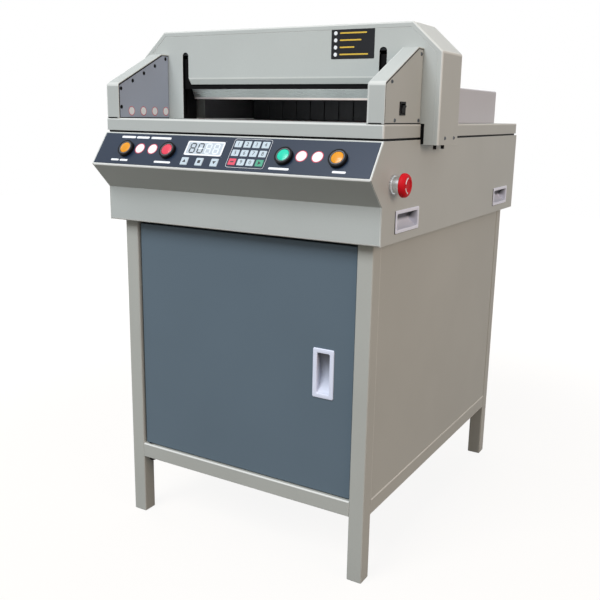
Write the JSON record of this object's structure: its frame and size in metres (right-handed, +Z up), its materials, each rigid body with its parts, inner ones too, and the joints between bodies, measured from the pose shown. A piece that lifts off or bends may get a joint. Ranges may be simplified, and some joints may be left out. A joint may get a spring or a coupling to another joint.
{
  "type": "electric paper cutter",
  "caption": "Free-standing electric guillotine for paper: cabinet stand with a door, slanted control face, guarded table, powered knife, clamp and back gauge under a hood.",
  "frame": {"origin": "on the floor under the middle of the machine's width and depth", "axes": "+Z up, -Y towards the operator, +X to the operator's right"},
  "size_m": [0.6932, 0.834, 1.051],
  "materials": {
    "case_paint": "satin powder coat, light grey",
    "stand_paint": "satin powder coat, light grey",
    "door_paint": "satin powder coat, slate",
    "pull_plastic": "moulded, pale",
    "black_steel": "blackened",
    "black_plastic": "moulded, fine grain",
    "overlay_film": "printed film",
    "display_glass": "clear window over a pale display",
    "board": "glass-fibre board",
    "orange_cap": "moulded, translucent",
    "red_cap": "moulded, translucent",
    "green_cap": "moulded, translucent",
    "bright_metal": "bright plated",
    "stop_red": "moulded",
    "bed_steel": "ground",
    "stick_plastic": "extruded bar",
    "frame_steel": "machined",
    "blade_steel": "ground and polished",
    "gearbox_iron": "cast",
    "motor_case": "painted dark",
    "screw_steel": "zinc plated",
    "gauge_metal": "black anodised",
    "cover_plastic": "formed sheet, grey",
    "sensor_plate": "fine textured, slate grey"
  },
  "bodies": {
    "frame": {"stand_legs": "stand_paint", "stand_rails": "stand_paint", "left_side_panel": "stand_paint", "right_side_panel": "stand_paint", "back_panel": "stand_paint", "cabinet_shelf": "stand_paint", "stand_top_plate": "stand_paint", "door_pivot_pins": "black_steel", "case_left_side": "case_paint", "case_right_side": "case_paint", "case_front": "case_paint", "case_tray": "case_paint", "side_pulls": "pull_plastic", "power_inlet": "black_plastic", "panel_overlay": "overlay_film", "display_window": "display_glass", "control_board": "board", "button_bezels": "black_plastic", "stop_collar": "bright_metal", "front_table": "case_paint", "rear_table": "case_paint", "cutting_bed": "bed_steel", "cutting_stick": "stick_plastic", "base_plates": "frame_steel", "beam_posts": "frame_steel", "top_bar": "frame_steel", "beam_hood": "case_paint", "beam_front": "case_paint", "knife_gearbox": "gearbox_iron", "knife_motor": "motor_case", "clamp_motor": "motor_case", "screw_bearings": "frame_steel", "gauge_motor": "motor_case", "rear_cover_hinges": "screw_steel", "left_guard_shell": "case_paint", "left_guard_plate": "sensor_plate", "right_guard_shell": "case_paint", "right_guard_plate": "case_paint", "switch_frame": "black_plastic", "cover_screws": "screw_steel", "post_bolts": "black_steel"},
    "door": {"door_panel": "door_paint", "door_pull": "pull_plastic"},
    "left_cut_button": {"left_cut_cap": "orange_cap"},
    "power_button": {"power_cap": "red_cap"},
    "reset_button": {"reset_cap": "green_cap"},
    "right_cut_button": {"right_cut_cap": "orange_cap"},
    "stop_plunger": {"stop_stem": "bright_metal"},
    "stop_mushroom": {"stop_head": "stop_red"},
    "knife": {"knife_blade": "blade_steel", "knife_carrier": "black_steel", "pull_yoke": "frame_steel"},
    "crank": {"knife_crank": "frame_steel"},
    "clamp": {"clamp_bar": "black_steel"},
    "clamp_spindle": {"clamp_screw": "screw_steel"},
    "gauge": {"back_gauge": "gauge_metal", "gauge_carriage": "gauge_metal"},
    "gauge_spindle": {"gauge_screw": "screw_steel"},
    "rear_lid": {"rear_cover": "cover_plastic"},
    "rocker": {"switch_rocker": "black_plastic"}
  },
  "joints": [
    {"name": "door_swing", "type": "hinge", "parent": "frame", "child": "door", "pos_m": [-0.24221, -0.3359, 0.1685], "axis": [0, 0, -1], "range_deg": [0, 105]},
    {"name": "left_cut_press", "type": "slide", "parent": "frame", "child": "left_cut_button", "axis": [0, 0.8124, -0.5831], "range_m": [0, 0.0035], "stiffness_N_per_m": 400, "springref_m": -0.002},
    {"name": "power_press", "type": "slide", "parent": "frame", "child": "power_button", "axis": [0, 0.8124, -0.5831], "range_m": [0, 0.0035], "stiffness_N_per_m": 400, "springref_m": -0.002},
    {"name": "reset_press", "type": "slide", "parent": "frame", "child": "reset_button", "axis": [0, 0.8124, -0.5831], "range_m": [0, 0.0035], "stiffness_N_per_m": 400, "springref_m": -0.002},
    {"name": "right_cut_press", "type": "slide", "parent": "frame", "child": "right_cut_button", "axis": [0, 0.8124, -0.5831], "range_m": [0, 0.0035], "stiffness_N_per_m": 400, "springref_m": -0.002},
    {"name": "stop_press", "type": "slide", "parent": "frame", "child": "stop_plunger", "axis": [-1, 0, 0], "range_m": [0, 0.005], "stiffness_N_per_m": 1500, "springref_m": -0.003},
    {"name": "stop_twist", "type": "hinge", "parent": "stop_plunger", "child": "stop_mushroom", "pos_m": [0.31, -0.329, 0.77], "axis": [1, 0, 0], "range_deg": [0, 30], "stiffness_Nm_per_rad": 0.15, "springref_deg": -8.59},
    {"name": "knife_stroke", "type": "slide", "parent": "frame", "child": "knife", "axis": [0, 0, -1], "range_m": [0, 0.0407]},
    {"name": "crank_turn", "type": "hinge", "parent": "frame", "child": "crank", "pos_m": [-0.037, -0.1912, 0.75565], "axis": [0, 1, 0], "range_deg": [0, 61.21]},
    {"name": "clamp_stroke", "type": "slide", "parent": "frame", "child": "clamp", "axis": [0, 0, -1], "range_m": [0, 0.0427]},
    {"name": "clamp_screw_turn", "type": "hinge", "parent": "frame", "child": "clamp_spindle", "pos_m": [0, -0.1742, 0.872], "axis": [0, 0, 1], "range_deg": [0, 2562.5]},
    {"name": "gauge_travel", "type": "slide", "parent": "frame", "child": "gauge", "axis": [0, 1, 0], "range_m": [-0.18, 0.215]},
    {"name": "gauge_screw_turn", "type": "hinge", "parent": "frame", "child": "gauge_spindle", "pos_m": [0, 0, 0.82], "axis": [0, 1, 0], "range_deg": [-6480.5, 7740.5]},
    {"name": "rear_cover_lift", "type": "hinge", "parent": "frame", "child": "rear_lid", "pos_m": [0, 0.3305, 0.878], "axis": [-1, 0, 0], "range_deg": [0, 90]},
    {"name": "side_switch_rock", "type": "hinge", "parent": "frame", "child": "rocker", "pos_m": [0.3045, -0.2985, 0.898], "axis": [0, -1, 0], "range_deg": [0, 20]}
  ],
  "couplings": [
    {"joint": "crank_turn", "follows": "knife_stroke", "rad_per_m": 26.228},
    {"joint": "clamp_screw_turn", "follows": "clamp_stroke", "rad_per_m": 1047.2},
    {"joint": "gauge_screw_turn", "follows": "gauge_travel", "rad_per_m": 628.32}
  ]
}
